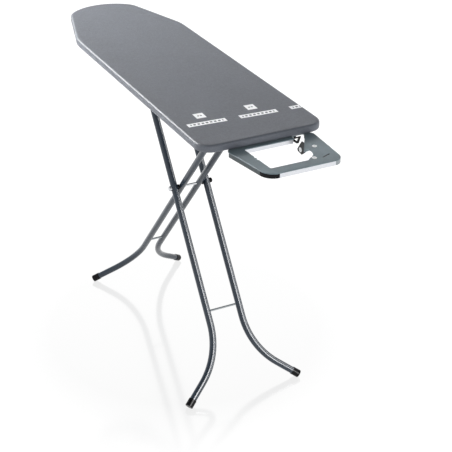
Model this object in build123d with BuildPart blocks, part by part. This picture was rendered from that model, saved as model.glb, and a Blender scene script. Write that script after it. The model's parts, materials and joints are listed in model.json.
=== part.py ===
"""Folding ironing board with crossed tube legs, a sliding iron rest and a spring-returned height release.

The frame: +X runs from the nose to the square end, +Y is the right side seen from the square end, +Z is up.
The origin is on the floor, under the middle of the whole object with the iron rest pulled out.
Lengths are in millimetres.
"""
import os
from math import asin, cos, hypot, radians, sin, tan

from build123d import *

# Board, over its cover
board_length = 1213.0
board_width = 386.0
shoulder_half_width = 187.5
ironing_height = 917.0
board_depth = 22.0
cover_thickness = 1.5
pad_thickness = 4.0
mesh_thickness = 0.6
frame_tube_radius = 7.0
frame_tube_wall = 1.0
hem_width = 42.0
elastic_width = 5.0
taper_length = 292.0
nose_corner_half_width = 117.0
nose_round = 53.0
square_end_radius = 45.0
taper_blend_radius = 170.0
nose_corner_radius = 60.0

# Crossed legs
crossing_height = 554.0
crossing_from_end = 470.2
hinge_drop = 35.0
inner_slope = 50.27
outer_slope = 54.91
inner_half_spacing = 30.0
outer_half_spacing = 55.5
inner_tube_radius = 10.0
outer_tube_radius = 11.0
tube_wall = 1.0
foot_bend_radius = 229.0
foot_turn = 48.0
inner_bend_start = 483.0
outer_bend_start = 440.0
foot_centre_height = 8.5
cap_wall = 1.5
cap_end = 3.0
cap_length = 25.0
folded_slope = 2.77
raised_slope = 55.57

# Pins, rods and sheet metal
pin_radius = 4.0
running_radius = 4.06
cross_rod_radius = 3.25
sheet = 2.0
rail_y = 76.0
slot_half_height = 8.5
pull_travel = 12.0
pull_rod_radius = 2.5

# Iron rest
rest_reach = 180.0
rest_tuck = 13.0
rest_drop = 24.0
rest_depth = 15.0
rest_plate_thickness = 2.5
rest_rim = 3.0
rest_middle_y = 24.0
rest_back_left = 144.0
rest_back_right = 131.0
rest_front_left = 112.5
rest_front_right = 119.0
slide_rod_radius = 4.0
slide_rod_offset = 110.0

# Places worked out from the above
end_x = (board_length + rest_reach) / 2 - rest_reach
nose_x = end_x - board_length
half_width = board_width / 2
board_bottom = ironing_height - board_depth
pad_top = ironing_height - cover_thickness
mesh_top_z = pad_top - pad_thickness
frame_top = mesh_top_z - mesh_thickness
frame_centre_z = frame_top - frame_tube_radius
frame_inset = cover_thickness + 0.5 + frame_tube_radius
bar_bottom = board_bottom + 2.0
hinge_z = ironing_height - hinge_drop
crossing = Vector(end_x - crossing_from_end, 0, crossing_height)
drop = hinge_z - crossing_height
inner_reach = drop / sin(radians(inner_slope))
outer_reach = drop / sin(radians(outer_slope))
hinge_x = crossing.X + drop / tan(radians(inner_slope))
rest_top = ironing_height - rest_drop
rest_bottom = rest_top - rest_depth
plate_bottom = rest_top - rest_plate_thickness
slide_rod_z = plate_bottom - 0.5 - slide_rod_radius
left_rod_y = rest_middle_y - slide_rod_offset
right_rod_y = rest_middle_y + slide_rod_offset

os.makedirs("parts", exist_ok=True)


def save(part, name):
    """Label a finished piece and write it."""
    part.label = name
    export_step(part, f"parts/{name}.step")


def half_width_at(x):
    """Half the board's width at x, on its slightly slanted sides or its taper."""
    taper_x = nose_x + taper_length
    fall = (shoulder_half_width - nose_corner_half_width) / (taper_length - nose_round)
    if x < taper_x:
        return shoulder_half_width - (taper_x - x) * fall
    return shoulder_half_width + (half_width - shoulder_half_width) * (x - taper_x) / (end_x - taper_x)


def axle_x(slope):
    """Where the outer legs' top axle stands when the inner legs have this slope."""
    outer = asin(inner_reach * sin(radians(slope)) / outer_reach)
    return hinge_x - inner_reach * cos(radians(slope)) - outer_reach * cos(outer)


# ---------------------------------------------------------------- board

def board_outline(inset):
    """Plan of the board, set in from the cover's edge: square end, long sides, taper and round nose."""
    taper_x = nose_x + taper_length
    corner_x = nose_x + nose_round
    with BuildSketch() as plan:
        with BuildLine():
            ThreePointArc(
                (corner_x, -nose_corner_half_width), (nose_x, 0), (corner_x, nose_corner_half_width)
            )
            Polyline(
                (corner_x, nose_corner_half_width),
                (taper_x, shoulder_half_width),
                (end_x, half_width),
                (end_x, -half_width),
                (taper_x, -shoulder_half_width),
                (corner_x, -nose_corner_half_width),
            )
        make_face()
        fillet(plan.vertices().filter_by_position(Axis.X, end_x - 1, end_x + 1), square_end_radius)
        fillet(plan.vertices().filter_by_position(Axis.X, taper_x - 1, taper_x + 1), taper_blend_radius)
        fillet(plan.vertices().filter_by_position(Axis.X, corner_x - 1, corner_x + 1), nose_corner_radius)
        if inset > 0:
            offset(amount=-inset, kind=Kind.INTERSECTION)
    return plan.sketch


outer_plan = board_outline(0)
inner_plan = board_outline(cover_thickness)
hem_plan = board_outline(hem_width)
pad_edge_radius = 3.9

with BuildPart() as cover_inside:
    with BuildSketch(Plane.XY.offset(board_bottom + cover_thickness)):
        add(inner_plan)
    extrude(amount=board_depth - 2 * cover_thickness)
    fillet(cover_inside.faces().sort_by(Axis.Z)[-1].outer_wire().edges(), pad_edge_radius)

with BuildPart() as cover:
    with BuildSketch(Plane.XY.offset(board_bottom)):
        add(outer_plan)
    extrude(amount=board_depth)
    fillet(cover.faces().sort_by(Axis.Z)[-1].outer_wire().edges(), pad_edge_radius + cover_thickness)
    add(cover_inside.part, mode=Mode.SUBTRACT)
    with BuildSketch(Plane.XY.offset(board_bottom)):
        add(hem_plan)
    extrude(amount=cover_thickness, mode=Mode.SUBTRACT)
save(cover.part, "cover")

with BuildPart() as pad:
    with BuildSketch(Plane.XY.offset(mesh_top_z)):
        add(inner_plan)
    extrude(amount=pad_thickness)
    fillet(pad.faces().sort_by(Axis.Z)[-1].outer_wire().edges(), pad_edge_radius)
save(pad.part, "pad")

with BuildPart() as hem_elastic:
    with BuildSketch(Plane.XY.offset(board_bottom)):
        add(hem_plan)
        add(board_outline(hem_width + elastic_width), mode=Mode.SUBTRACT)
    extrude(amount=cover_thickness)
save(hem_elastic.part, "hem_elastic")

hole_radius = 5.5
hole_pitch_x = 30.0
hole_pitch_y = 26.0
hole_field = board_outline(frame_inset + 18).faces()[0]
hole_columns = range(int(board_length / hole_pitch_x))
hole_rows = range(-7, 8)
hole_places = [
    (nose_x + (column + 0.5) * hole_pitch_x, (row + 0.5 * (column % 2)) * hole_pitch_y)
    for column in hole_columns
    for row in hole_rows
]
with BuildPart() as mesh_top:
    with BuildSketch(Plane.XY.offset(frame_top)):
        add(board_outline(cover_thickness + 1))
        with Locations(*[place for place in hole_places if hole_field.is_inside(Vector(*place))]):
            Circle(hole_radius, mode=Mode.SUBTRACT)
    extrude(amount=mesh_thickness)
save(mesh_top.part, "mesh_top")

frame_path = board_outline(frame_inset).faces()[0].outer_wire().moved(Location((0, 0, frame_centre_z)))
with BuildPart() as perimeter_frame:
    with BuildSketch(Plane(origin=frame_path @ 0, z_dir=frame_path % 0)):
        Circle(frame_tube_radius)
        Circle(frame_tube_radius - frame_tube_wall, mode=Mode.SUBTRACT)
    sweep(path=frame_path)
    with Locations((end_x - frame_inset, 0, frame_centre_z)):
        Box(30, 0.6, 30, mode=Mode.SUBTRACT)
save(perimeter_frame.part, "perimeter_frame")

joint_length = 44.0
with BuildPart() as frame_joint:
    with BuildSketch(Plane.XZ.offset(-joint_length / 2)):
        with Locations((end_x - frame_inset, frame_centre_z)):
            Circle(frame_tube_radius - frame_tube_wall)
    extrude(amount=joint_length)
save(frame_joint.part, "frame_joint_plug")

bar_width = 30.0
bar_wall = 1.2


def cross_bar(x):
    """Upturned channel from side tube to side tube, under the mesh."""
    narrow = half_width_at(x - bar_width / 2)
    half_length = narrow - frame_inset - frame_tube_radius - 2.0
    height = frame_top - bar_bottom
    with BuildPart() as bar:
        with BuildSketch(Plane.XZ.offset(-half_length)):
            with Locations((x, bar_bottom)):
                Rectangle(bar_width, height, align=(Align.CENTER, Align.MIN))
            with Locations((x, bar_bottom + bar_wall)):
                Rectangle(
                    bar_width - 2 * bar_wall, height, align=(Align.CENTER, Align.MIN), mode=Mode.SUBTRACT
                )
        extrude(amount=2 * half_length)
    return bar.part


axle_front_x = axle_x(raised_slope)
axle_rear_x = axle_x(folded_slope)
middle_bar_x = axle_front_x + 43.0
rear_bar_x = axle_rear_x - 45.0
rest_bar_x = hinge_x - 92.0
save(cross_bar(rear_bar_x), "rear_cross_bar")
save(cross_bar(middle_bar_x), "middle_cross_bar")
save(cross_bar(rest_bar_x), "rest_cross_bar")
save(cross_bar(hinge_x), "hinge_cross_bar")

rail_bottom = hinge_z - 14.0
flange_width = 12.0
tab_width = 18.0
bolt_radius = 2.5
notch_radius = 4.6
notch_count = 9
notch_pitch = (axle_front_x - axle_rear_x) / (notch_count + 2)


def notches(front, height):
    """Half-round seats in a slot's upper edge, one for each working height."""
    with Locations(*[(front - step * notch_pitch, height) for step in range(notch_count)]):
        Circle(notch_radius, mode=Mode.SUBTRACT)


def slotted_rail(side):
    """Angle rail with the long slot that the outer legs' top axle runs in."""
    rear = rear_bar_x - bar_width / 2
    front = middle_bar_x + bar_width / 2
    middle = (rear + front) / 2
    with BuildPart() as rail:
        with BuildSketch(Plane.XZ.offset(-side * rail_y)):
            with Locations((middle, rail_bottom)):
                Rectangle(front - rear, bar_bottom - rail_bottom, align=(Align.CENTER, Align.MIN))
            with Locations(((axle_rear_x + axle_front_x) / 2, hinge_z)):
                SlotCenterToCenter(
                    axle_front_x - axle_rear_x, 2 * slot_half_height, mode=Mode.SUBTRACT
                )
            notches(axle_front_x, hinge_z + slot_half_height - 1)
        extrude(amount=-side * sheet)
        with BuildSketch(Plane.XY.offset(rail_bottom - sheet)):
            with Locations((middle, side * (rail_y + flange_width / 2))):
                Rectangle(front - rear, flange_width)
        extrude(amount=sheet)
        tab_y = side * (rail_y - tab_width / 2)
        with BuildSketch(Plane.XY.offset(bar_bottom - sheet)):
            with Locations((rear_bar_x, tab_y), (middle_bar_x, tab_y)):
                Rectangle(bar_width, tab_width)
                Circle(bolt_radius, mode=Mode.SUBTRACT)
        extrude(amount=sheet)
    return rail.part


save(slotted_rail(-1), "left_rail")
save(slotted_rail(1), "right_rail")

cheek_y = 42.0
cheek_thickness = 3.0
cheek_radius = 14.0
bracket_tab_width = 16.0
bracket_bolt_y = cheek_y + cheek_thickness + bracket_tab_width / 2
for side, name in ((-1, "left_hinge_bracket"), (1, "right_hinge_bracket")):
    with BuildPart() as bracket:
        with BuildSketch(Plane.XZ.offset(-side * cheek_y)):
            with Locations((hinge_x, hinge_z)):
                Circle(cheek_radius)
                Rectangle(2 * cheek_radius, bar_bottom - hinge_z, align=(Align.CENTER, Align.MIN))
                Circle(pin_radius, mode=Mode.SUBTRACT)
        extrude(amount=-side * cheek_thickness)
        with BuildSketch(Plane.XY.offset(bar_bottom - sheet)):
            with Locations((hinge_x, side * bracket_bolt_y)):
                Rectangle(2 * cheek_radius, bracket_tab_width)
                Circle(bolt_radius, mode=Mode.SUBTRACT)
        extrude(amount=sheet)
    save(bracket.part, name)

pin_head_start = cheek_y + cheek_thickness + 1.0
pin_head_length = 4.0
pin_head_radius = 6.5
pin_end = pin_head_start + pin_head_length
with BuildPart() as hinge_pin:
    with BuildSketch(Plane.XZ.offset(-pin_end)):
        with Locations((hinge_x, hinge_z)):
            Circle(pin_radius)
    extrude(amount=2 * pin_end)
    for face_y in (-pin_end, pin_head_start):
        with BuildSketch(Plane.XZ.offset(-face_y)):
            with Locations((hinge_x, hinge_z)):
                Circle(pin_head_radius)
        extrude(amount=-pin_head_length)
    fillet(hinge_pin.faces().sort_by(Axis.Y)[0].edges(), 1.5)
    fillet(hinge_pin.faces().sort_by(Axis.Y)[-1].edges(), 1.5)
save(hinge_pin.part, "hinge_pin")

washer_start = inner_half_spacing + inner_tube_radius + 0.4
washer_thickness = 1.3
washer_radius = 9.0
with BuildPart() as hinge_washers:
    for face_y in (-washer_start - washer_thickness, washer_start):
        with BuildSketch(Plane.XZ.offset(-face_y)):
            with Locations((hinge_x, hinge_z)):
                Circle(washer_radius)
                Circle(pin_radius, mode=Mode.SUBTRACT)
        extrude(amount=-washer_thickness)
save(hinge_washers.part, "hinge_washers")

guide_size = 18.0
front_guide_x = hinge_x + bar_width / 2 + guide_size / 2 + 2
rear_guide_x = rest_bar_x
guide_bottom = slide_rod_z - slide_rod_radius - 5
with BuildPart() as rod_guides:
    for block_x, guide_top in ((front_guide_x, frame_top), (rear_guide_x, bar_bottom)):
        for guide_y in (left_rod_y, right_rod_y):
            with BuildSketch(Plane.YZ.offset(block_x - guide_size / 2)):
                with Locations((guide_y, guide_bottom)):
                    Rectangle(guide_size, guide_top - guide_bottom, align=(Align.CENTER, Align.MIN))
                with Locations((guide_y, slide_rod_z)):
                    Circle(running_radius, mode=Mode.SUBTRACT)
            extrude(amount=guide_size)
save(rod_guides.part, "slide_rod_guides")

bolt_places = [
    (bolt_x, side * bolt_y)
    for bolt_x, bolt_y in (
        (rear_bar_x, rail_y - tab_width / 2),
        (middle_bar_x, rail_y - tab_width / 2),
        (hinge_x, bracket_bolt_y),
    )
    for side in (-1, 1)
]
with BuildPart() as frame_bolts:
    with BuildSketch(Plane.XY.offset(bar_bottom - sheet)):
        with Locations(*bolt_places):
            RegularPolygon(4.6, 6)
    extrude(amount=-3.2)
    with BuildSketch(Plane.XY.offset(bar_bottom - sheet)):
        with Locations(*bolt_places):
            Circle(bolt_radius)
    extrude(amount=sheet)
save(frame_bolts.part, "frame_bolts")

# ---------------------------------------------------------------- height release

strip_y = rail_y + sheet + 1.0
strip_bottom = rail_bottom + 1.0
strip_top = bar_bottom - 2.0
stud_z = strip_top - 6.0
stud_radius = 2.5
rod_z = strip_bottom + 6.0
pull_rod_y = strip_y + sheet + pull_rod_radius
strip_rear = axle_rear_x - 52.0
strip_front = axle_front_x + 50.0
front_stud_x = strip_front - 10.0
rear_stud_x = axle_rear_x - 34.0

with BuildPart() as lock_strip:
    with BuildSketch(Plane.XZ.offset(-strip_y)):
        with Locations(((strip_rear + strip_front) / 2, strip_bottom)):
            Rectangle(strip_front - strip_rear, strip_top - strip_bottom, align=(Align.CENTER, Align.MIN))
        slot_rear = axle_rear_x - pull_travel
        with Locations(((slot_rear + axle_front_x) / 2, hinge_z)):
            SlotCenterToCenter(axle_front_x - slot_rear, 2 * slot_half_height, mode=Mode.SUBTRACT)
        notches(axle_front_x - notch_pitch / 2, hinge_z + slot_half_height - 3)
        with Locations((front_stud_x - pull_travel / 2, stud_z), (rear_stud_x - pull_travel / 2, stud_z)):
            SlotCenterToCenter(pull_travel, 2 * stud_radius + 0.4, mode=Mode.SUBTRACT)
    extrude(amount=-sheet)
save(lock_strip.part, "lock_strip")

with BuildPart() as strip_studs:
    for stud_x in (front_stud_x, rear_stud_x):
        with BuildSketch(Plane.XZ.offset(-(rail_y + sheet))):
            with Locations((stud_x, stud_z)):
                Circle(stud_radius)
        extrude(amount=-5)
        with BuildSketch(Plane.XZ.offset(-(rail_y + sheet + 3.4))):
            with Locations((stud_x, stud_z)):
                Circle(4.2)
        extrude(amount=-1.6)
save(strip_studs.part, "strip_studs")

grip_y = 130.0
grip_rod_z = 860.0
rod_bend_x = end_x - 266.0
rod_slant = 90.0
rod_end_x = end_x - 64.0
side_step = grip_y - pull_rod_y
down_step = rod_z - grip_rod_z
rod_step = hypot(side_step, down_step)
rod_plane = Plane(
    origin=(rod_bend_x, pull_rod_y, rod_z),
    x_dir=(1, 0, 0),
    z_dir=(0, down_step / rod_step, side_step / rod_step),
)
with BuildPart() as pull_rod:
    with BuildLine(rod_plane) as rod_path:
        FilletPolyline(
            (strip_front - 34 - rod_bend_x, 0),
            (0, 0),
            (rod_slant, rod_step),
            (rod_end_x - rod_bend_x, rod_step),
            radius=40,
        )
    with BuildSketch(Plane(origin=rod_path.line @ 0, z_dir=rod_path.line % 0)):
        Circle(pull_rod_radius)
    sweep()
save(pull_rod.part, "pull_rod")

ring_half_width = 2.0
grip_width = 6.0
with BuildSketch(Plane.XZ.offset(-(grip_y - grip_width / 2))) as grip_triangle:
    with BuildLine():
        Polyline((end_x - 75, 847), (end_x - 43, 849), (end_x - 33, 871.5), close=True)
    make_face()
with BuildPart() as release_grip:
    with BuildSketch(Plane.XZ.offset(-(grip_y - grip_width / 2))):
        offset(grip_triangle.sketch_local, amount=ring_half_width)
        offset(
            grip_triangle.sketch_local,
            amount=-ring_half_width,
            kind=Kind.INTERSECTION,
            mode=Mode.SUBTRACT,
        )
    extrude(amount=-grip_width)
    with BuildSketch(Plane.YZ.offset(rod_end_x - 10)):
        with Locations((grip_y, grip_rod_z)):
            Circle(pull_rod_radius + 1.2)
    extrude(amount=19)
    with BuildSketch(Plane.YZ.offset(rod_end_x - 10)):
        with Locations((grip_y, grip_rod_z)):
            Circle(pull_rod_radius)
    extrude(amount=10, mode=Mode.SUBTRACT)
save(release_grip.part, "release_grip")

spring_x = 112.0
spring_length = 34.0
with BuildPart() as spring_collar:
    with BuildSketch(Plane.YZ.offset(spring_x - 5)):
        with Locations((pull_rod_y, rod_z)):
            Circle(6)
            Circle(pull_rod_radius, mode=Mode.SUBTRACT)
    extrude(amount=4.5)
save(spring_collar.part, "spring_collar")

wire_radius = 0.6
coil_radius = 4.6
coil_pitch = 3.6
with BuildPart() as return_spring:
    with BuildLine() as coil:
        Helix(
            pitch=coil_pitch,
            height=spring_length - 2 * wire_radius - 0.4,
            radius=coil_radius,
            center=(spring_x + wire_radius + 0.2, pull_rod_y, rod_z),
            direction=(1, 0, 0),
        )
    with BuildSketch(Plane(origin=coil.line @ 0, z_dir=coil.line % 0)):
        Circle(wire_radius)
    sweep(is_frenet=True)
save(return_spring.part, "return_spring")

with BuildPart() as pull_rod_guide:
    with BuildSketch(Plane.YZ.offset(spring_x + spring_length)):
        with Locations((pull_rod_y, rod_z)):
            Rectangle(18, frame_top - rod_z, align=(Align.CENTER, Align.MIN))
        with Locations((pull_rod_y, rod_z)):
            Circle(9)
            Circle(pull_rod_radius + 0.06, mode=Mode.SUBTRACT)
    extrude(amount=sheet)
save(pull_rod_guide.part, "pull_rod_guide")

# ---------------------------------------------------------------- legs

def leg_plane(slope, lean):
    """Plane of one pair of legs: x runs down the legs from the crossing, y is across the board."""
    across = cos(radians(slope)) * lean
    down = -sin(radians(slope))
    return Plane(origin=crossing, x_dir=(across, 0, down), z_dir=(-down, 0, across))


class LegPair:
    """Sizes and places of one pair of legs, in its own plane."""

    def __init__(self, slope, lean, reach, half_spacing, radius, bend_start):
        self.plane = leg_plane(slope, lean)
        self.top = -reach
        self.half_spacing = half_spacing
        self.radius = radius
        self.bend_start = bend_start
        turn = radians(foot_turn)
        self.bend_end = bend_start + foot_bend_radius * sin(turn)
        self.bend_side = half_spacing + foot_bend_radius * (1 - cos(turn))
        self.foot = (crossing_height - foot_centre_height) / sin(radians(slope))
        self.foot_side = self.bend_side + (self.foot - self.bend_end) * tan(turn)

    def foot_plane(self, side, back):
        """Plane across one foot, this far back from the cap's end face, looking outward."""
        turn = radians(foot_turn)
        end = (self.foot - back * cos(turn), side * (self.foot_side - back * sin(turn)))
        ahead = self.plane.x_dir * cos(turn) + Vector(0, side * sin(turn), 0)
        return Plane(origin=self.plane.from_local_coords(Vector(*end, 0)), z_dir=ahead)


inner = LegPair(inner_slope, -1, inner_reach, inner_half_spacing, inner_tube_radius, inner_bend_start)
outer = LegPair(outer_slope, 1, outer_reach, outer_half_spacing, outer_tube_radius, outer_bend_start)
tube_top_margin = 8.0
plug_depth = 8.0


def leg_tube(leg, side, top_bore, crossing_bore):
    """Bent tube of one leg, bored across for its top pin and for the crossing axle."""
    y = side * leg.half_spacing
    half_turn = radians(foot_turn / 2)
    middle = (
        leg.bend_start + foot_bend_radius * sin(half_turn),
        side * (leg.half_spacing + foot_bend_radius * (1 - cos(half_turn))),
    )
    turn = radians(foot_turn)
    tube_end = (leg.foot - cap_end * cos(turn), side * (leg.foot_side - cap_end * sin(turn)))
    with BuildPart() as tube:
        with BuildLine(leg.plane) as path:
            Line((leg.top - tube_top_margin, y), (leg.bend_start, y))
            ThreePointArc((leg.bend_start, y), middle, (leg.bend_end, side * leg.bend_side))
            Line((leg.bend_end, side * leg.bend_side), tube_end)
        with BuildSketch(Plane(origin=path.line @ 0, z_dir=path.line % 0)):
            Circle(leg.radius)
            Circle(leg.radius - tube_wall, mode=Mode.SUBTRACT)
        sweep()
        for distance, bore in ((leg.top, top_bore), (0.0, crossing_bore)):
            middle_of_bore = leg.plane.from_local_coords(Vector(distance, y, 0))
            with Locations(Location(middle_of_bore, (90, 0, 0))):
                Cylinder(bore, 4 * leg.radius, mode=Mode.SUBTRACT)
    return tube.part


def foot_cap(leg, side):
    """Plastic sleeve over a foot's end, trimmed flat where it stands on the floor."""
    with BuildPart() as cap:
        with BuildSketch(leg.foot_plane(side, cap_length)):
            Circle(leg.radius + cap_wall)
        extrude(amount=cap_length)
        fillet(cap.faces().sort_by(Axis.Y)[-1 if side > 0 else 0].edges(), 1.2)
        with BuildSketch(leg.foot_plane(side, cap_length)):
            Circle(leg.radius)
        extrude(amount=cap_length - cap_end, mode=Mode.SUBTRACT)
        split(bisect_by=Plane.XY, keep=Keep.TOP)
    return cap.part


def cross_rod(leg, distance):
    """Round brace between a pair of legs, its ends shaped to the tubes."""
    with BuildPart() as rod:
        place = leg.plane.from_local_coords(Vector(distance, 0, 0))
        with Locations(Location(place, (90, 0, 0))):
            Cylinder(cross_rod_radius, 2 * (leg.half_spacing - leg.radius) + 2)
        for side in (-1, 1):
            centre = leg.plane.from_local_coords(Vector(distance - 20, side * leg.half_spacing, 0))
            with BuildSketch(Plane(origin=centre, z_dir=leg.plane.x_dir)):
                Circle(leg.radius)
            extrude(amount=40, mode=Mode.SUBTRACT)
    return rod.part


def top_plugs(leg, bore):
    """Plastic plugs that close the tops of a pair of tubes, bored for the pin."""
    with BuildPart() as plugs:
        for side in (-1, 1):
            y = side * leg.half_spacing
            start = leg.plane.from_local_coords(Vector(leg.top - tube_top_margin, y, 0))
            with BuildSketch(Plane(origin=start, z_dir=leg.plane.x_dir)):
                Circle(leg.radius - tube_wall)
            extrude(amount=tube_top_margin + pin_radius + plug_depth)
            with Locations(Location(leg.plane.from_local_coords(Vector(leg.top, y, 0)), (90, 0, 0))):
                Cylinder(bore, 4 * leg.radius, mode=Mode.SUBTRACT)
    return plugs.part


for side, side_name in ((-1, "left"), (1, "right")):
    save(leg_tube(inner, side, running_radius, pin_radius), f"{side_name}_inner_leg_tube")
    save(leg_tube(outer, side, pin_radius, running_radius), f"{side_name}_outer_leg_tube")
    save(foot_cap(inner, side), f"{side_name}_inner_foot_cap")
    save(foot_cap(outer, side), f"{side_name}_outer_foot_cap")
save(cross_rod(inner, 432), "inner_cross_rod")
save(cross_rod(outer, 400), "outer_cross_rod")
save(top_plugs(inner, running_radius), "inner_leg_top_plugs")
save(top_plugs(outer, pin_radius), "outer_leg_top_plugs")


def across_board(x, z, start_y, length, radius, bore=0.0):
    """Round piece that runs along Y from start_y, with an optional bore."""
    with BuildPart() as piece:
        with BuildSketch(Plane.XZ.offset(-start_y)):
            with Locations((x, z)):
                Circle(radius)
                if bore > 0:
                    Circle(bore, mode=Mode.SUBTRACT)
        extrude(amount=-length)
    return piece.part


inner_gap = inner_half_spacing - inner_tube_radius - 0.1
outer_face = outer_half_spacing + outer_tube_radius
save(across_board(hinge_x, hinge_z, -inner_gap, 2 * inner_gap, 8, running_radius), "hinge_sleeve")

axle_half_length = outer_face + 5
save(
    across_board(crossing.X, crossing.Z, -axle_half_length, 2 * axle_half_length, pin_radius),
    "crossing_axle",
)
bush_start = inner_half_spacing + inner_tube_radius + 0.1
bush_length = outer_half_spacing - outer_tube_radius - 0.3 - bush_start
with BuildPart() as crossing_bushes:
    add(across_board(crossing.X, crossing.Z, bush_start, bush_length, 8.5, pin_radius))
    add(across_board(crossing.X, crossing.Z, -bush_start - bush_length, bush_length, 8.5, pin_radius))
save(crossing_bushes.part, "crossing_bushes")

for side, side_name in ((-1, "left"), (1, "right")):
    nut_start = outer_face + 0.4
    with BuildPart() as cap_nut:
        with BuildSketch(Plane.XZ.offset(-side * nut_start)):
            with Locations((crossing.X, crossing.Z)):
                Circle(8)
        extrude(amount=-side * 8)
        fillet(cap_nut.faces().sort_by(Axis.Y)[-1 if side > 0 else 0].edges(), 3.5)
        with BuildSketch(Plane.XZ.offset(-side * nut_start)):
            with Locations((crossing.X, crossing.Z)):
                Circle(pin_radius)
        extrude(amount=-side * (axle_half_length - nut_start), mode=Mode.SUBTRACT)
    save(cap_nut.part, f"{side_name}_crossing_cap_nut")

top_axle_x = axle_x(inner_slope)
top_axle_half_length = strip_y + sheet + 4.5
save(
    across_board(top_axle_x, hinge_z, -top_axle_half_length, 2 * top_axle_half_length, pin_radius),
    "top_axle",
)
sleeve_start = outer_face + 0.1
sleeve_length = rail_y - 0.5 - sleeve_start
clip_start = strip_y + sheet + 0.8
with BuildPart() as top_axle_sleeves:
    add(across_board(top_axle_x, hinge_z, sleeve_start, sleeve_length, 7, pin_radius))
    add(across_board(top_axle_x, hinge_z, -sleeve_start - sleeve_length, sleeve_length, 7, pin_radius))
save(top_axle_sleeves.part, "top_axle_sleeves")
with BuildPart() as top_axle_clips:
    add(across_board(top_axle_x, hinge_z, clip_start, 1.6, 7, pin_radius))
    add(across_board(top_axle_x, hinge_z, -clip_start - 1.6, 1.6, 7, pin_radius))
save(top_axle_clips.part, "top_axle_clips")

# ---------------------------------------------------------------- iron rest

rest_back = end_x - rest_tuck
rest_front = end_x + rest_reach


def rest_outline(inset):
    """Plan of the iron rest, a little narrower at the front than at the back."""
    with BuildSketch() as plan:
        with BuildLine():
            Polyline(
                (rest_back, rest_middle_y - rest_back_left),
                (rest_front, rest_middle_y - rest_front_left),
                (rest_front, rest_middle_y + rest_front_right),
                (rest_back, rest_middle_y + rest_back_right),
                close=True,
            )
        make_face()
        fillet(plan.vertices().sort_by(Axis.X)[:2], 22)
        fillet(plan.vertices().sort_by(Axis.X)[-2:].sort_by(Axis.Y)[0], 40)
        fillet(plan.vertices().sort_by(Axis.Y)[-2:].sort_by(Axis.X)[-1], 29)
        if inset > 0:
            offset(amount=-inset, kind=Kind.INTERSECTION)
    return plan.sketch


eyelet_places = ((end_x + 78, 111), (end_x + 141, 73))
with BuildSketch() as rest_opening:
    with BuildLine():
        Polyline(
            (end_x - 7, 130),
            (end_x - 7, 88),
            (end_x + 12, 86),
            (end_x + 12, -71),
            (end_x + 146, -63),
            (end_x + 146, 52),
            (end_x + 136, 63),
        )
        ThreePointArc((end_x + 136, 63), (end_x + 119, 82), (end_x + 98, 88))
        Polyline((end_x + 98, 88), (end_x + 92, 87), (end_x + 96, 67), (end_x - 7, 130))
    make_face()
    fillet(rest_opening.vertices().sort_by(Axis.Y)[:2], 5)
    with Locations((end_x + 68, -68), (end_x + 82, -67)):
        Rectangle(6, 6)

with BuildPart() as rest_plate:
    with BuildSketch(Plane.XY.offset(plate_bottom)):
        add(rest_outline(0))
        add(rest_opening.sketch, mode=Mode.SUBTRACT)
        with Locations(Location((end_x + 142, 108.5, 0), (0, 0, 112))):
            SlotOverall(32, 6, mode=Mode.SUBTRACT)
        with Locations(*eyelet_places):
            Circle(4, mode=Mode.SUBTRACT)
    extrude(amount=rest_plate_thickness)
    fillet(rest_plate.faces().sort_by(Axis.Z)[-1].outer_wire().edges(), 1.5)
    with BuildSketch(Plane.XY.offset(plate_bottom - 8)):
        with Locations(Location((end_x + 142, 108.5, 0), (0, 0, 112))):
            with Locations((0, 4.5)):
                Rectangle(26, 3)
    extrude(amount=8)
save(rest_plate.part, "rest_plate")

rim_top = plate_bottom
rim_height = rim_top - rest_bottom
cap_back_x = end_x + 144.0
left_cap_y = -54.0
right_cap_y = 117.0
far = 400.0


def rim_piece(low, high):
    """Stretch of the rest's outer rim that lies between two corners of its plan."""
    with BuildPart() as rim:
        with BuildSketch(Plane.XY.offset(rest_bottom)):
            add(rest_outline(0))
            add(rest_outline(rest_rim), mode=Mode.SUBTRACT)
            with Locations(((low[0] + high[0]) / 2, (low[1] + high[1]) / 2)):
                Rectangle(high[0] - low[0], high[1] - low[1], mode=Mode.INTERSECT)
        extrude(amount=rim_height)
    return rim.part


side_back_x = rest_back + 22.0
save(rim_piece((side_back_x, -far), (cap_back_x, 0)), "left_rest_rim")
save(rim_piece((side_back_x, 0), (cap_back_x, far)), "right_rest_rim")
save(rim_piece((cap_back_x, -far), (end_x + far, left_cap_y)), "left_rest_corner")
save(rim_piece((cap_back_x, right_cap_y), (end_x + far, far)), "right_rest_corner")
save(rim_piece((cap_back_x, left_cap_y), (end_x + far, right_cap_y)), "rest_front_strip")

rear_rail_left = left_rod_y + 9.0
rear_rail_right = 85.0
with BuildPart() as rear_rail:
    with BuildSketch(Plane.XY.offset(rest_bottom)):
        with Locations((end_x, (rear_rail_left + rear_rail_right) / 2)):
            Rectangle(16, rear_rail_right - rear_rail_left)
    extrude(amount=rim_height)
save(rear_rail.part, "rest_rear_rail")

with BuildPart() as rear_strip:
    with BuildSketch(Plane.XY.offset(rest_bottom)):
        with Locations((end_x + 9, (rear_rail_left + 8 + rear_rail_right - 1) / 2)):
            Rectangle(2, rear_rail_right - rear_rail_left - 9)
    extrude(amount=rim_height - 1)
save(rear_strip.part, "rest_rear_strip")

for side_name, slide_y in (("left", left_rod_y), ("right", right_rod_y)):
    with BuildPart() as slide_rod:
        with BuildSketch(Plane.YZ.offset(rear_guide_x - 45)):
            with Locations((slide_y, slide_rod_z)):
                Circle(slide_rod_radius)
        extrude(amount=end_x + 134 - rear_guide_x + 45)
        chamfer(slide_rod.edges().filter_by(GeomType.CIRCLE), 0.8)
    save(slide_rod.part, f"{side_name}_slide_rod")

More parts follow.
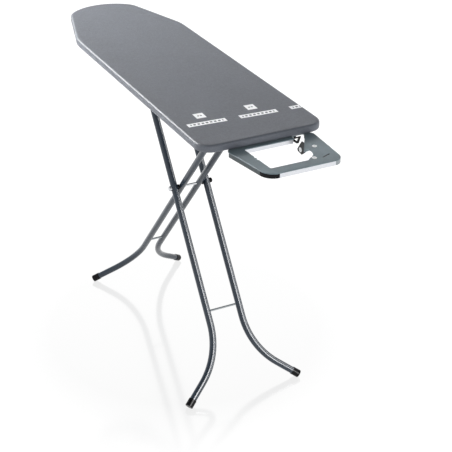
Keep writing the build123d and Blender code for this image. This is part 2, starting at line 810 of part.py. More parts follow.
clamp_length = 16.0
clamp_width = 13.0
with BuildPart() as rod_clamps:
    for clamp_x in (end_x + 2, end_x + 121):
        for slide_y in (left_rod_y, right_rod_y):
            with BuildSketch(Plane.YZ.offset(clamp_x - clamp_length / 2)):
                with Locations((slide_y, rest_bottom + 1)):
                    Rectangle(clamp_width, rim_height - 1, align=(Align.CENTER, Align.MIN))
                with Locations((slide_y, slide_rod_z)):
                    Circle(slide_rod_radius, mode=Mode.SUBTRACT)
            extrude(amount=clamp_length)
save(rod_clamps.part, "slide_rod_clamps")

with BuildPart() as rod_stops:
    for slide_y in (left_rod_y, right_rod_y):
        with BuildSketch(Plane.YZ.offset(rear_guide_x - 22)):
            with Locations((slide_y, slide_rod_z)):
                Circle(slide_rod_radius + 2.2)
                Circle(slide_rod_radius, mode=Mode.SUBTRACT)
        extrude(amount=4)
save(rod_stops.part, "slide_rod_stops")

ear_y = 98.0
ear_rivet_place = (end_x + 27, ironing_height - 53.5)
with BuildPart() as ear:
    with BuildSketch(Plane.XZ.offset(-ear_y)):
        with BuildLine():
            Polyline(
                (end_x + 31, plate_bottom),
                (end_x + 9, ironing_height - 58),
                (end_x + 13, ironing_height - 63),
                (end_x + 34, ironing_height - 66),
                (end_x + 48, ironing_height - 55),
                (end_x + 76, plate_bottom),
                close=True,
            )
        make_face()
        with Locations(ear_rivet_place):
            Circle(3.2, mode=Mode.SUBTRACT)
    extrude(amount=-sheet)
save(ear.part, "rest_ear")


def rivet_with_eye(place, z_dir, grip, shank):
    """Domed rivet with a blind eye in its head and a flat washer at its far side."""
    plane = Plane(origin=place, z_dir=z_dir)
    with BuildPart() as rivet:
        with BuildSketch(plane.offset(-0.8)):
            Circle(6)
        extrude(amount=0.8)
        with BuildSketch(plane):
            Circle(shank)
        extrude(amount=grip)
        with BuildSketch(plane.offset(grip)):
            Circle(7)
        extrude(amount=1.2)
        chamfer(rivet.faces().sort_by(Axis(place, z_dir))[-1].edges(), 0.6)
        with BuildSketch(plane.offset(grip - 0.6)):
            Circle(2.8)
        extrude(amount=1.8, mode=Mode.SUBTRACT)
    return rivet.part


with BuildPart() as rest_eyelets:
    add(rivet_with_eye((ear_rivet_place[0], ear_y + sheet, ear_rivet_place[1]), (0, -1, 0), sheet, 3.2))
    for place in eyelet_places:
        add(rivet_with_eye((*place, plate_bottom), (0, 0, 1), rest_plate_thickness, 4.0))
save(rest_eyelets.part, "rest_eyelets")
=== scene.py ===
"""Looks of the ironing board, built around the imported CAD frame. Metres, +X to the square end, +Z up."""

import json
import math

import bmesh
import bpy
import numpy as np
from mathutils import Matrix, Vector


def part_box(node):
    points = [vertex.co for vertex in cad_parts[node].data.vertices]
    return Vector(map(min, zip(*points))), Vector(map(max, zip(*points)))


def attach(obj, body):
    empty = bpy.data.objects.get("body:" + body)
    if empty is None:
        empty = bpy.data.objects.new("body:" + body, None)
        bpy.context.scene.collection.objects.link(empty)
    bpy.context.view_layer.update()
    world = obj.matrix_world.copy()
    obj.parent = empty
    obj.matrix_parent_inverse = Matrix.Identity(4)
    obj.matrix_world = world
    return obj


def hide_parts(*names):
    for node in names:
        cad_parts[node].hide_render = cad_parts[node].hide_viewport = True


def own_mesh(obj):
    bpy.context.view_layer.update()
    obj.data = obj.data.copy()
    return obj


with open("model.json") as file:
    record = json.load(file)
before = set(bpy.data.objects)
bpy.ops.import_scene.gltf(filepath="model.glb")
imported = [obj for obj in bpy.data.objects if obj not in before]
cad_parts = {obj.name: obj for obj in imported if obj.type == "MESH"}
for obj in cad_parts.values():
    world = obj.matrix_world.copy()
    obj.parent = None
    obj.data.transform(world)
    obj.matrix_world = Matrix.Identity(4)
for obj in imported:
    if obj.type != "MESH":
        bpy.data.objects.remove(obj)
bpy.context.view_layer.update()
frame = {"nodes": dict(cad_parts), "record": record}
cad_nodes = frame["nodes"]

# ---------------------------------------------------------------- camera and light


def camera_turn(azimuth, elevation, roll):
    """Rotation of a camera that looks from this azimuth and elevation, in degrees."""
    a, e, r = (math.radians(angle) for angle in (azimuth, elevation, roll))
    back = Vector((math.sin(a) * math.cos(e), -math.cos(a) * math.cos(e), math.sin(e)))
    right = (-back).cross(Vector((0, 0, 1))).normalized()
    up = right.cross(-back)
    rolled_right = math.cos(r) * right + math.sin(r) * up
    rolled_up = math.cos(r) * up - math.sin(r) * right
    return Matrix((rolled_right, rolled_up, back)).transposed()


camera = bpy.data.objects.new("camera", bpy.data.cameras.new("camera"))
bpy.context.scene.collection.objects.link(camera)
camera.data.lens = 100.5
camera.data.sensor_width = 36.0
camera_place = (3.2488, -1.5432, 2.3456)
camera_azimuth, camera_elevation, camera_roll = 62.442, 28.637, 0.575
camera.matrix_world = (
    Matrix.Translation(camera_place)
    @ camera_turn(camera_azimuth, camera_elevation, camera_roll).to_4x4()
)
bpy.context.scene.camera = camera
bpy.context.scene.view_settings.view_transform = "Standard"


def area_light(name, place, target, size, power, along=(0, 0, 1), gloss=True, fill=True):
    """Soft rectangular light that faces a point, its height lying along a direction.

    Without gloss it makes no highlights, and without fill it makes nothing else.
    """
    light = bpy.data.lights.new(name, "AREA")
    light.shape = "RECTANGLE"
    light.size, light.size_y = size
    light.energy = power
    holder = bpy.data.objects.new(name, light)
    bpy.context.scene.collection.objects.link(holder)
    back = (Vector(place) - Vector(target)).normalized()
    across = Vector(along).cross(back).normalized()
    turn = Matrix((across, back.cross(across), back)).transposed()
    holder.matrix_world = Matrix.Translation(place) @ turn.to_4x4()
    holder.visible_glossy = gloss
    holder.visible_diffuse = fill
    return holder


def lights_only(holder, pieces):
    """Keep a light to these objects."""
    receivers = bpy.data.collections.new(holder.name + "_receivers")
    for piece in pieces:
        receivers.objects.link(piece)
    holder.light_linking.receiver_collection = receivers


# Soft light on the cover and the legs, without highlights.
area_light("nose_softbox", (-1.75, -1.05, 1.75), (-0.5, -0.05, 0.9), (0.9, 0.6), 50, gloss=False)
area_light("left_softbox", (-0.9, -3.0, 1.0), (0.0, 0.0, 0.75), (2.4, 0.9), 34, gloss=False)
area_light("right_softbox", (1.6, 2.4, 1.1), (0.1, 0.0, 0.5), (0.12, 1.8), 20, gloss=False)
area_light("end_softbox", (3.5, 0.3, 0.5), (0.5, 0.0, 0.88), (2.0, 1.0), 40, gloss=False)
# Highlights, on the left edge of the cover and rest, and along the outer legs and on the foot caps.
leg_run = (-0.575, 0.0, 0.818)
edge_glint = area_light("edge_glint", (-4.6, -2.6, 3.7), (-0.1, -0.19, 0.9), (2.8, 2.2), 700, fill=False)
leg_glint = area_light("leg_glint", (2.7, 0.68, 2.2), (0.3, 0.0, 0.4), (1.2, 3.6), 250, leg_run, fill=False)
leg_line = area_light("leg_line", (1.6, 2.4, 1.1), (0.3, 0.0, 0.4), (0.6, 3.6), 75, leg_run, fill=False)
outer_tubes = [piece for name, piece in cad_nodes.items() if "outer_leg_tube" in name]
foot_caps = [piece for name, piece in cad_nodes.items() if "foot_cap" in name]
lights_only(leg_glint, outer_tubes + foot_caps)
lights_only(leg_line, outer_tubes)


# ---------------------------------------------------------------- material tools


class Shader:
    """A node material on a Principled surface, with short calls for its nodes."""

    def __init__(self, name, **surface):
        self.material = bpy.data.materials.new(name)
        self.material.use_nodes = True
        self.tree = self.material.node_tree
        self.surface = self.tree.nodes["Principled BSDF"]
        for socket, value in surface.items():
            self.surface.inputs[socket.replace("_", " ")].default_value = value
        self.here = self.node("ShaderNodeTexCoord").outputs["Object"]

    def node(self, kind, **settings):
        """A new node of this kind."""
        made = self.tree.nodes.new(kind)
        for name, value in settings.items():
            setattr(made, name, value)
        return made

    def put(self, socket, value):
        """Give an input a constant, or link an output to it."""
        if isinstance(value, bpy.types.NodeSocket):
            self.tree.links.new(value, socket)
        else:
            socket.default_value = value

    def set(self, socket, value):
        """Put a value or an output into an input of the surface."""
        self.put(self.surface.inputs[socket], value)

    def math(self, operation, a, b=0.0, c=0.0):
        """Output of a math node on one to three values."""
        made = self.node("ShaderNodeMath", operation=operation)
        for socket, value in zip(made.inputs, (a, b, c)):
            self.put(socket, value)
        return made.outputs[0]

    def product(self, *values):
        """These values multiplied together."""
        made = values[0]
        for value in values[1:]:
            made = self.math("MULTIPLY", made, value)
        return made

    def xyz(self):
        """The three object coordinates, apart."""
        made = self.node("ShaderNodeSeparateXYZ")
        self.put(made.inputs[0], self.here)
        return made.outputs

    def scaled(self, factors):
        """Object coordinates times these factors."""
        made = self.node("ShaderNodeMapping")
        self.put(made.inputs["Vector"], self.here)
        made.inputs["Scale"].default_value = factors
        return made.outputs[0]

    def noise(self, scale, detail=3.0, roughness=0.5, stretch=(1, 1, 1)):
        """Noise in object coordinates, drawn out along the axes with a small stretch."""
        made = self.node("ShaderNodeTexNoise")
        self.put(made.inputs["Vector"], self.scaled(stretch))
        made.inputs["Scale"].default_value = scale
        made.inputs["Detail"].default_value = detail
        made.inputs["Roughness"].default_value = roughness
        return made.outputs["Fac"]

    def map(self, value, low, high, to_low, to_high):
        """Value carried from one range to another, and held at its ends."""
        made = self.node("ShaderNodeMapRange")
        for socket, entry in zip(made.inputs, (value, low, high, to_low, to_high)):
            self.put(socket, entry)
        return made.outputs[0]

    def mix(self, factor, a, b):
        """Colour between two colours."""
        made = self.node("ShaderNodeMix", data_type="RGBA")
        self.put(made.inputs[0], factor)
        for socket, value in ((made.inputs[6], a), (made.inputs[7], b)):
            self.put(socket, value if isinstance(value, bpy.types.NodeSocket) else (*value, 1.0))
        return made.outputs[2]

    def bump(self, height, strength, distance):
        """Relief of the surface from a height, its depth in metres."""
        made = self.node("ShaderNodeBump")
        made.inputs["Strength"].default_value = strength
        made.inputs["Distance"].default_value = distance
        self.put(made.inputs["Height"], height)
        self.set("Normal", made.outputs[0])


def shade(colour, factor):
    """Colour made darker or lighter."""
    return tuple(channel * factor for channel in colour)


def sprayed(s, colour, roughness):
    """Give a shader the uneven gloss and faint orange peel of sprayed paint, and return its colour."""
    patches = s.map(s.noise(14.0, 4.0), 0.3, 0.7, 0.0, 1.0)
    s.set("Roughness", s.map(s.noise(60.0, 3.0), 0.3, 0.7, roughness * 0.85, roughness * 1.2))
    s.bump(s.noise(420.0, 2.0), 0.12, 0.000005)
    return s.mix(patches, shade(colour, 0.88), shade(colour, 1.12))


def painted(name, colour, roughness, coat=0.0, coat_roughness=0.2, **surface):
    """Powder coat or paint, all in one colour."""
    s = Shader(name, Coat_Weight=coat, Coat_Roughness=coat_roughness, **surface)
    s.set("Base Color", sprayed(s, colour, roughness))
    return s.material


def metal(name, colour, roughness, stretch=(1, 1, 1), streak=0.12):
    """Bare or plated metal, with drawn or brushed streaks along its grain."""
    s = Shader(name, Metallic=1.0)
    grain = s.noise(700.0, 3.0, 0.6, stretch)
    s.set("Base Color", s.mix(grain, shade(colour, 1 - streak), shade(colour, 1 + streak * 0.4)))
    s.set("Roughness", s.map(s.noise(45.0, 4.0), 0.25, 0.75, roughness * 0.7, roughness * 1.35))
    s.bump(grain, 0.3, 0.00003)
    return s.material


def galvanised(name, colour):
    """Zinc skin with its crystal spangle."""
    s = Shader(name, Metallic=1.0)
    cells = s.node("ShaderNodeTexVoronoi")
    s.put(cells.inputs["Vector"], s.here)
    cells.inputs["Scale"].default_value = 160.0
    split = s.node("ShaderNodeSeparateColor")
    s.put(split.inputs[0], cells.outputs["Color"])
    s.set("Base Color", s.mix(split.outputs[0], shade(colour, 0.78), shade(colour, 1.1)))
    s.set("Roughness", s.map(split.outputs[1], 0.0, 1.0, 0.28, 0.5))
    s.bump(s.noise(500.0, 3.0), 0.2, 0.00005)
    return s.material


def plastic(name, colour, roughness, **surface):
    """Moulded plastic with a fine eroded grain."""
    s = Shader(name, **surface)
    s.set("Base Color", s.mix(s.noise(35.0, 3.0), shade(colour, 0.85), shade(colour, 1.15)))
    s.set("Roughness", s.map(s.noise(220.0, 2.0), 0.3, 0.7, roughness * 0.85, roughness * 1.15))
    s.bump(s.noise(1400.0, 2.0), 0.35, 0.00006)
    return s.material


black = (0.003, 0.003, 0.004)
rest_blue = (0.125, 0.168, 0.190)


def rest_plate_paint_and_slot_shade(name, colour, roughness):
    """The rest's paint, with the folded lip behind its slot painted black: painted shade, so the slot reads
    dark.
    """
    s = Shader(name, Coat_Weight=0.2, Coat_Roughness=0.18)
    plate_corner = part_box("rest_plate")[1]
    shaded_lip_centre = (plate_corner.x - 0.034, plate_corner.y - 0.0345, plate_corner.z - 0.006)
    shaded_lip_reach, lip_depth = 0.0195, 0.0008
    away = s.node("ShaderNodeVectorMath", operation="DISTANCE")
    s.put(away.inputs[0], s.here)
    away.inputs[1].default_value = shaded_lip_centre
    near = s.map(away.outputs["Value"], shaded_lip_reach, shaded_lip_reach + 0.0005, 1.0, 0.0)
    face = plate_corner.z
    below = s.map(s.xyz()[2], face - 2 * lip_depth, face - lip_depth, 1.0, 0.0)
    # The black on the lip under the slot is painted shade, standing in for the dark inside of the slot.
    s.set("Base Color", s.mix(s.product(near, below), sprayed(s, colour, roughness), black))
    return s.material


slot_materials = {
    "frame_steel": painted("frame_steel", (0.035, 0.04, 0.045), 0.38),
    "galvanised": galvanised("galvanised", (0.62, 0.63, 0.65)),
    "leg_paint": painted(
        "leg_paint", (0.010, 0.019, 0.032), 0.42, coat=0.9, coat_roughness=0.15, Specular_IOR_Level=0.15
    ),
    "rod_steel": metal("rod_steel", (0.42, 0.45, 0.47), 0.3, (1, 0.05, 1)),
    "chrome": metal("chrome", (0.82, 0.83, 0.85), 0.1, (0.05, 1, 1), 0.03),
    "zinc": metal("zinc", (0.66, 0.67, 0.69), 0.28),
    "spring_steel": metal("spring_steel", (0.55, 0.55, 0.57), 0.25),
    "black_plastic": plastic("black_plastic", black, 0.24, Specular_IOR_Level=0.14),
    "white_nylon": plastic("white_nylon", (0.76, 0.76, 0.73), 0.4),
    "rest_paint": painted("rest_paint", rest_blue, 0.36, coat=0.2),
    "rest_aluminium": metal("rest_aluminium", (0.70, 0.715, 0.75), 0.3, (1, 0.04, 1), 0.06),
    "grey_plastic": plastic("grey_plastic", (0.20, 0.225, 0.235), 0.35),
    # Darker copy of the rest's blue paint for its rims: painted shade on their sides.
    "rest_rim_painted_shade": painted("rest_rim_painted_shade", (0.020, 0.033, 0.038), 0.32, coat=0.15),
    # Rest plate paint, with painted shade on the lip under its slot.
    "rest_plate_paint_and_slot_shade": rest_plate_paint_and_slot_shade("rest_plate_paint_and_slot_shade", rest_blue, 0.36),
    "rivet_white": painted("rivet_white", (0.86, 0.87, 0.88), 0.3),
    "dark_steel": painted("dark_steel", (0.004, 0.005, 0.006), 0.3, Specular_IOR_Level=0.2),
}

# ---------------------------------------------------------------- cover print and cloth

cover_low, cover_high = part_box("cover")


def inside(s, value, centre, half, soft=0.0004):
    """1 where value lies within half of centre."""
    gap = s.math("ABSOLUTE", s.math("SUBTRACT", value, centre))
    return s.map(gap, half - soft, half + soft, 1.0, 0.0)


def repeated(s, value, pitch):
    """Distance from the middle of the step that value falls in, in a row of equal steps."""
    return s.math("SUBTRACT", s.math("WRAP", value, pitch, 0.0), pitch / 2)


def print_row(s, x, y):
    """Ink of a row of bars, each with a square beside it, across the board near its square end."""
    row_x, row_y, row_turn = cover_high.x - 0.1395, -0.026, math.radians(2.5)
    bar_pitch, bar_half_length, bar_half_width = 0.159, 0.0585, 0.0105
    square_row, square_half_width, square_half_length = -0.0520, 0.0150, 0.0170
    dash_pitch, dash_half_length, dash_half_width, dashes_reach = 0.0125, 0.0036, 0.0040, 0.0500
    dot_from_middle, dot_radius, dot_soft = 0.0042, 0.0032, 0.0004
    turn_cos, turn_sin = math.cos(row_turn), math.sin(row_turn)

    away_x = s.math("SUBTRACT", x, row_x)
    away_y = s.math("SUBTRACT", y, row_y)
    along = s.math("ADD", s.product(away_x, turn_sin), s.product(away_y, turn_cos))
    over = s.math("SUBTRACT", s.product(away_x, turn_cos), s.product(away_y, turn_sin))
    place = repeated(s, along, bar_pitch)
    bar = s.product(inside(s, place, 0.0, bar_half_length), inside(s, over, 0.0, bar_half_width))
    square = s.product(
        inside(s, place, 0.0, square_half_width), inside(s, over, square_row, square_half_length)
    )

    dash_place = repeated(s, s.math("ADD", place, dash_pitch / 2), dash_pitch)
    dashes = s.product(
        inside(s, dash_place, 0.0, dash_half_length),
        inside(s, over, 0.0, dash_half_width),
        inside(s, place, 0.0, dashes_reach),
    )
    dot_x = s.math("SUBTRACT", s.math("ABSOLUTE", place), dot_from_middle)
    dot_y = s.math("SUBTRACT", over, square_row)
    away = s.math("SQRT", s.math("ADD", s.product(dot_x, dot_x), s.product(dot_y, dot_y)))
    dots = s.map(away, dot_radius - dot_soft, dot_radius + dot_soft, 1.0, 0.0)
    cut_out = s.math("MAXIMUM", s.product(dashes, bar), s.product(dots, square))
    return s.math("SUBTRACT", s.math("MAXIMUM", bar, square), cut_out)


def cover_cloth():
    """Heather cotton: plain weave, slubs and soft tone changes, with a white print near the square end."""
    s = Shader("cover_cloth", Sheen_Weight=0.08, Sheen_Roughness=0.4)
    x, y, z = s.xyz()

    thread_pitch = 0.0011
    warp = s.math("SINE", s.product(x, 2 * math.pi / thread_pitch))
    weft = s.math("SINE", s.product(y, 2 * math.pi / thread_pitch))
    weave = s.product(warp, weft)
    slub_along = s.noise(380.0, 4.0, 0.65, (0.3, 1, 1))
    slub_across = s.noise(380.0, 4.0, 0.65, (1, 0.22, 1))
    slub = s.math("ADD", slub_along, slub_across)
    patch = s.noise(11.0, 5.0, 0.6)
    light = s.math("ADD", s.map(slub, 0.7, 1.3, -0.16, 0.16), s.map(patch, 0.3, 0.7, -0.05, 0.05))
    light = s.math("ADD", light, s.product(weave, 0.03))
    base, ink_white = (0.087, 0.096, 0.115), (0.95, 0.955, 0.96)
    cloth = s.mix(s.map(light, -0.3, 0.3, 0.0, 1.0), shade(base, 0.72), shade(base, 1.28))

    worn = s.map(slub, 0.75, 1.3, 0.97, 0.84)
    on_top = s.map(z, cover_high.z - 0.016, cover_high.z - 0.012, 0.0, 1.0)
    s.set("Base Color", s.mix(s.product(print_row(s, x, y), worn, on_top), cloth, ink_white))
    s.set("Roughness", s.map(slub, 0.7, 1.3, 0.52, 0.44))
    s.bump(s.math("ADD", s.product(weave, 0.5), s.product(slub, 1.2)), 0.35, 0.00012)
    return s.material


def felt():
    """Needled felt: pale fibres in all directions."""
    s = Shader("felt", Roughness=0.95, Sheen_Weight=0.5, Sheen_Roughness=0.6)
    fibres = s.math("ADD", s.noise(900.0, 4.0, 0.7, (0.15, 1, 1)), s.noise(900.0, 4.0, 0.7, (1, 0.15, 1)))
    fleck = s.noise(120.0, 5.0, 0.7)
    light = s.math("ADD", s.map(fibres, 0.7, 1.3, 0.0, 0.6), s.map(fleck, 0.3, 0.7, 0.0, 0.4))
    s.set("Base Color", s.mix(light, (0.62, 0.61, 0.58), (0.86, 0.86, 0.83)))
    s.bump(fibres, 0.6, 0.0004)
    return s.material


def elastic_web():
    """Woven elastic: rubber cords that run along it under a crossing yarn."""
    s = Shader("elastic_web", Sheen_Weight=0.2)
    tone = s.noise(500.0, 3.0, 0.6)
    s.set("Base Color", s.mix(tone, (0.10, 0.10, 0.11), (0.22, 0.22, 0.23)))
    s.set("Roughness", s.map(tone, 0.3, 0.7, 0.7, 0.9))
    s.bump(s.noise(1600.0, 2.0), 0.5, 0.0002)
    return s.material


def thread():
    """Polyester sewing thread."""
    s = Shader("thread", Sheen_Weight=0.2)
    s.set("Base Color", s.mix(s.noise(900.0, 2.0), (0.42, 0.43, 0.45), (0.56, 0.57, 0.6)))
    s.set("Roughness", s.map(s.noise(700.0, 2.0), 0.3, 0.7, 0.5, 0.7))
    return s.material


cloth_material = cover_cloth()
felt_material = felt()
elastic_material = elastic_web()
thread_material = thread()

own_finishes = {
    # Plate paint with painted shade on the lip under its slot.
    "rest_plate": "rest_plate_paint_and_slot_shade",
    "rest_eyelets": "rivet_white",
    # Darker copy of the rest paint on the rims: painted shade on their sides.
    "left_rest_rim": "rest_rim_painted_shade",
    "right_rest_rim": "rest_rim_painted_shade",
}
for part in frame["record"]["subparts"]:
    finish = own_finishes.get(part["node"], part["material_slot"])
    if finish in slot_materials:
        slots = cad_nodes[part["node"]].data.materials
        slots.clear()
        slots.append(slot_materials[finish])

# ---------------------------------------------------------------- soft pieces


def mesh_piece(name, vertices, faces, material, smooth=True):
    """A mesh object in the row frame."""
    mesh = bpy.data.meshes.new(name)
    mesh.from_pydata([tuple(v) for v in vertices], [], [tuple(f) for f in faces])
    mesh.materials.append(material)
    mesh.polygons.foreach_set("use_smooth", [smooth] * len(mesh.polygons))
    mesh.update()
    piece = bpy.data.objects.new(name, mesh)
    bpy.context.scene.collection.objects.link(piece)
    return piece


def run_of(loop):
    """Distance along a line of points, at each of them."""
    steps = np.linalg.norm(np.diff(loop, axis=0), axis=1)
    return np.append(0.0, np.cumsum(steps))


def outline_of(node, spacing):
    """Evenly spaced loop round a convex node's plan, mirrored about y = 0 and starting at the nose.

    The convex outline of one half comes first, then even steps along it, its mirror image and a smoothing.
    """
    points = {(round(v.co.x, 5), round(abs(v.co.y), 5)) for v in cad_nodes[node].data.vertices}
    half = []
    for point in sorted(points, key=lambda p: (p[0], p[1])):
        while len(half) > 1 and (
            (half[-1][0] - half[-2][0]) * (point[1] - half[-2][1])
            - (half[-1][1] - half[-2][1]) * (point[0] - half[-2][0])
        ) >= 0:
            half.pop()
        half.append(point)
    front, back = half[0][0], half[-1][0]
    chain = np.array([(front, 0.0)] + half + [(back, 0.0)])
    keep = np.append(True, np.linalg.norm(np.diff(chain, axis=0), axis=1) > 1e-6)
    chain = chain[keep]
    run = run_of(chain)
    count = int(run[-1] / spacing)
    steps = np.linspace(0.0, run[-1], count + 1)
    upper = np.column_stack([np.interp(steps, run, chain[:, 0]), np.interp(steps, run, chain[:, 1])])
    lower = upper[1:-1][::-1] * (1, -1)
    loop = np.vstack([upper, lower])
    for _ in range(3):
        loop = 0.5 * loop + 0.25 * (np.roll(loop, 1, axis=0) + np.roll(loop, -1, axis=0))
    return loop


def outward(loop):
    """Unit normals of a loop that runs clockwise seen from above."""
    along = np.roll(loop, -1, axis=0) - np.roll(loop, 1, axis=0)
    along /= np.linalg.norm(along, axis=1)[:, None]
    return np.column_stack([-along[:, 1], along[:, 0]])


def ring_faces(rings, count, start=0):
    """Quads between neighbouring rings of count points."""
    faces = []
    for ring in range(rings - 1):
        low, high = start + ring * count, start + (ring + 1) * count
        for i in range(count):
            j = (i + 1) % count
            faces.append((low + i, low + j, high + j, high + i))
    return faces


nose_spine_gap, end_spine_gap = 0.13, 0.17


def closing(loop, inset, height, steps, wave=None):
    """Rings that close a flat face, from inside the loop to a line along the board's middle."""
    edge = loop - outward(loop) * inset
    front, back = edge[:, 0].min(), edge[:, 0].max()
    spine_x = np.clip(edge[:, 0], front + nose_spine_gap, back - end_spine_gap)
    rings = []
    for step in range(1, steps + 1):
        t = step / steps
        x = edge[:, 0] + (spine_x - edge[:, 0]) * t
        y = edge[:, 1] * (1 - t)
        z = np.full(len(edge), height) if wave is None else height + wave(x, y, t)
        rings.append(np.column_stack([x, y, z]))
    return rings


def merged(piece, distance=1e-6):
    """Join a piece's coincident vertices and drop the faces that vanish."""
    made = bmesh.new()
    made.from_mesh(piece.data)
    bmesh.ops.remove_doubles(made, verts=made.verts, dist=distance)
    bmesh.ops.dissolve_degenerate(made, edges=made.edges, dist=distance)
    bmesh.ops.recalc_face_normals(made, faces=made.faces)
    made.to_mesh(piece.data)
    made.free()
    piece.data.polygons.foreach_set("use_smooth", [True] * len(piece.data.polygons))
    return piece


cover_spacing = 0.0045
cover_loop = outline_of("cover", cover_spacing)
cover_normal = outward(cover_loop)
cover_run = run_of(cover_loop)
# Angle of each point's place along the loop, a full turn to the whole loop.
around = 2 * math.pi * cover_run / (cover_run[-1] + cover_spacing)
hem_inset = 0.0425
fold_radius = 0.0030
edge_radius = 0.0068
side_bulge = 0.0004
gather_height, gather_shift, hem_sag = 0.0009, 0.0008, 0.0006


def gathers(share):
    """Wave of the drawn-up hem at each point of the loop, this share of the way in from the edge."""
    wave = (
        0.55 * np.sin(163 * around + 0.9 * np.sin(7 * around))
        + 0.3 * np.sin(227 * around + 2.0 + 1.3 * np.sin(11 * around))
        + 0.25 * np.sin(97 * around + 1.1)
    )
    return wave * share**0.8


def level(loop, height):
    """Loop at one height."""
    return np.column_stack([loop, np.full(len(loop), height)])


def hem_line(share):
    """Plan of the turned-under hem and its rise, this share of the way in from the fold."""
    wave = gathers(share)
    inset = fold_radius + (hem_inset - fold_radius) * share + gather_shift * wave * share
    return cover_loop - cover_normal * inset[:, None], gather_height * wave - hem_sag * share


def cover_rings():
    """Rings of the cover from its gathered hem, up its side, to the edge of its flat top."""
    hem_steps, fold_steps, side_steps, edge_steps = 9, 4, 5, 8
    hem_clearance = 0.0007
    rings = []
    for step in range(hem_steps):
        plan, rise = hem_line(1 - step / hem_steps)
        rings.append(np.column_stack([plan, cover_low.z + hem_clearance + rise]))
    for step in range(fold_steps + 1):
        turn = math.pi / 2 * step / fold_steps
        inset = fold_radius * (1 - math.sin(turn))
        height = cover_low.z + fold_radius * (1 - math.cos(turn))
        rings.append(level(cover_loop - cover_normal * inset, height))
    side_low, side_high = cover_low.z + fold_radius, cover_high.z - edge_radius
    for step in range(1, side_steps):
        share = step / side_steps
        bulge = side_bulge * math.sin(math.pi * share)
        rings.append(level(cover_loop + cover_normal * bulge, side_low + (side_high - side_low) * share))
    for step in range(edge_steps + 1):
        turn = math.pi / 2 * step / edge_steps
        inset = edge_radius * (1 - math.cos(turn))
        height = cover_high.z - edge_radius * (1 - math.sin(turn))
        rings.append(level(cover_loop - cover_normal * inset, height))
    return rings


def cushioned(x, y, t):
    """Slight give of the padded top: shallow dips, none at its edge."""
    dips = np.sin(9.1 * x + 1.3) * np.sin(13.7 * y + 0.4) + 0.6 * np.sin(21.0 * x + 17.0 * y + 2.1)
    dip_depth, sag = 0.00035, 0.0003
    return (dip_depth * dips - sag) * min(1.0, 4 * t)


def ringed_piece(name, rings, material):
    """Piece whose surface runs through these rings."""
    faces = ring_faces(len(rings), len(rings[0]))
    return merged(mesh_piece(name, np.vstack(rings), faces, material))


all_cover_rings = cover_rings() + closing(cover_loop, edge_radius, cover_high.z, 34, cushioned)
cover_piece = ringed_piece("fabric_cover", all_cover_rings, cloth_material)
solid = cover_piece.modifiers.new("cloth_thickness", "SOLIDIFY")
solid.thickness = 0.0009
solid.offset = -1
solid.use_rim = True
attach(cover_piece, "board")
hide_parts("cover")


def pad_rings():
    """Rings of the felt pad from the middle of its underside, round its edge, to the middle of its top."""
    low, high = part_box("pad")
    loop = outline_of("pad", 0.009)
    normal = outward(loop)
    edge_round, edge_steps, foot_round, top_gap = 0.0030, 6, 0.0006, 0.0004
    top = high.z - top_gap
    rings = closing(loop, foot_round, low.z, 14)[::-1]
    rings.append(level(loop - normal * foot_round, low.z))
    rings.append(level(loop, low.z + top_gap))
    for step in range(edge_steps + 1):
        turn = math.pi / 2 * step / edge_steps
        inset = edge_round * (1 - math.cos(turn))
        rings.append(level(loop - normal * inset, top - edge_round * (1 - math.sin(turn))))
    return rings + closing(loop, edge_round, top, 14, cushioned)


pad_piece = ringed_piece("felt_pad", pad_rings(), felt_material)
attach(pad_piece, "board")
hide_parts("pad")


def band_rings():
    """Closed wavy band that draws the hem in."""
    wave = gathers(1.0)
    band_start, band_lift = hem_inset - 0.0008, 0.0002
    width, thin, thick, slope = 0.0050, 0.0004, 0.0009, 0.0014
    section = [(0.0, thin), (slope, thick), (width - slope, thick), (width, thin)]
    section += [(inset, -lift) for inset, lift in section[::-1]]
    rings = []
    for inset, lift in section:
        plan = cover_loop - cover_normal * (band_start + inset + gather_shift * wave)[:, None]
        rings.append(np.column_stack([plan, cover_low.z + band_lift + lift + gather_height * wave]))
    rings.append(rings[0])
    return rings


band_piece = ringed_piece("hem_elastic_band", band_rings(), elastic_material)
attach(band_piece, "board")
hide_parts("hem_elastic")


def coil_spring():
    """Wound wire with closed end coils, in the space its CAD solid holds."""
    low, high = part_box("return_spring")
    wire = 0.0006
    closed_turns, closed_pace = 0.9, 0.35
    coil = (high.y - low.y) / 2 - wire
    middle_y, middle_z = (low.y + high.y) / 2, (low.z + high.z) / 2
    turns, around_wire, steps = 10.5, 10, 32
    travel = np.linspace(0.0, turns, int(turns * steps) + 1)
    pace = np.where((travel < closed_turns) | (travel > turns - closed_turns), closed_pace, 1.0)
    x = np.append(0.0, np.cumsum(pace[1:]))
    x = low.x + wire + x / x[-1] * (high.x - low.x - 2 * wire)
    rings = []
    for place, turn in zip(x, travel * 2 * math.pi):
        out = np.array((0.0, math.cos(turn), math.sin(turn)))
        centre = np.array((place, middle_y, middle_z)) + out * coil
        angles = np.arange(around_wire) * 2 * math.pi / around_wire
        side = np.outer(np.cos(angles), out) + np.outer(np.sin(angles), (1.0, 0.0, 0.0))
        rings.append(centre + wire * side)
    faces = ring_faces(len(rings), around_wire)
    faces.append(tuple(range(around_wire))[::-1])
    faces.append(tuple((len(rings) - 1) * around_wire + i for i in range(around_wire)))
    return np.vstack(rings), faces, (high.x, middle_y, middle_z), high.x - low.x


spring_vertices, spring_faces, spring_seat, spring_length = coil_spring()
spring_piece = merged(
    mesh_piece("coil_spring", spring_vertices, spring_faces, slot_materials["spring_steel"])
)
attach(spring_piece, "board")
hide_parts("return_spring")
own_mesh(spring_piece)


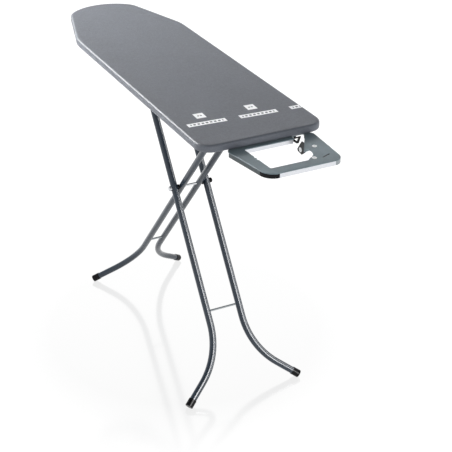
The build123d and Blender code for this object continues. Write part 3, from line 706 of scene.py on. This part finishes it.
def hem_stitches():
    """Zigzag row of stitches just outside the elastic, one short length of thread to each step."""
    row_share, zigzag_half_width, thread_lift = 0.86, 0.0009, 0.0005
    thread_width, thread_height, sides = 0.00028, 0.00022, 6
    swell = ((0.08, 0.35), (0.3, 1.0), (0.7, 1.0), (0.92, 0.35))  # place along a stitch, share of its width
    plan, rise = hem_line(row_share)
    zigzag = np.where(np.arange(len(plan)) % 2 == 0, zigzag_half_width, -zigzag_half_width)
    line = np.column_stack([plan - cover_normal * zigzag[:, None], cover_low.z + thread_lift + rise])
    vertices, faces = [], []
    for start, end in zip(line, np.roll(line, -1, axis=0)):
        run = end - start
        across = np.cross(run, (0, 0, 1)) / np.linalg.norm(run)
        first = len(vertices)
        for along, wide in swell:
            for side in range(sides):
                angle = 2 * math.pi * side / sides
                up = np.array((0, 0, math.sin(angle) * thread_height))
                vertices.append(start + run * along + (across * math.cos(angle) * thread_width + up) * wide)
        faces += ring_faces(len(swell), sides, first)
        last = first + (len(swell) - 1) * sides
        faces.append(tuple(first + sides - 1 - side for side in range(sides)))
        faces.append(tuple(last + side for side in range(sides)))
    return vertices, faces


stitch_vertices, stitch_faces = hem_stitches()
stitch_piece = mesh_piece("hem_stitches", stitch_vertices, stitch_faces, thread_material)
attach(stitch_piece, "board")

lights_only(edge_glint, [cover_piece, cad_nodes["rest_plate"], cad_nodes["left_rest_corner"]])

# ---------------------------------------------------------------- floor and world


def graded(tree, source, low, high, at_low, at_high, smooth=False):
    """Output that runs from one level to another as the source goes from low to high."""
    made = tree.nodes.new("ShaderNodeMapRange")
    if smooth:
        made.interpolation_type = "SMOOTHSTEP"
    for socket, value in zip(made.inputs[1:5], (low, high, at_low, at_high)):
        socket.default_value = value
    tree.links.new(source, made.inputs[0])
    return made.outputs[0]


def floor_surface(material):
    """White floor, less bright to bounced light, that mirrors only what stands near the origin."""
    material.use_nodes = True
    tree = material.node_tree
    tree.nodes.clear()
    surface, mixed, glow, gloss, light_path, place = (
        tree.nodes.new("ShaderNode" + kind)
        for kind in ("OutputMaterial", "MixShader", "Emission", "BsdfGlossy", "LightPath", "TexCoord")
    )
    glow.inputs["Color"].default_value = (1, 1, 1, 1)
    gloss.inputs["Roughness"].default_value = 0.12
    away = tree.nodes.new("ShaderNodeVectorMath")
    away.operation = "LENGTH"
    tree.links.new(place.outputs["Object"], away.inputs[0])
    glow_level = graded(tree, light_path.outputs["Is Diffuse Ray"], 0.0, 1.0, 1.14, 0.85)
    gloss_share = graded(tree, away.outputs["Value"], 0.45, 0.95, 0.28, 0.0)
    tree.links.new(glow_level, glow.inputs["Strength"])
    tree.links.new(gloss_share, mixed.inputs[0])
    tree.links.new(glow.outputs[0], mixed.inputs[1])
    tree.links.new(gloss.outputs[0], mixed.inputs[2])
    tree.links.new(mixed.outputs[0], surface.inputs["Surface"])


def studio_world():
    """White surroundings, bright low down and dim overhead."""
    world = bpy.data.worlds.new("studio")
    world.use_nodes = True
    tree = world.node_tree
    back = tree.nodes["Background"]
    back.inputs["Color"].default_value = (1, 1, 1, 1)
    place = tree.nodes.new("ShaderNodeTexCoord")
    split = tree.nodes.new("ShaderNodeSeparateXYZ")
    tree.links.new(place.outputs["Generated"], split.inputs[0])
    strength = graded(tree, split.outputs[2], 0.45, 0.8, 0.85, 0.22, smooth=True)
    tree.links.new(strength, back.inputs["Strength"])
    return world


floor_half = 30.0
floor_corners = [(x * floor_half, y * floor_half, 0) for x, y in ((-1, -1), (1, -1), (1, 1), (-1, 1))]
floor_material = bpy.data.materials.new("studio_floor")
floor_surface(floor_material)
floor = mesh_piece("studio_floor", floor_corners, [(0, 1, 2, 3)], floor_material, smooth=False)
bpy.context.scene.world = studio_world()
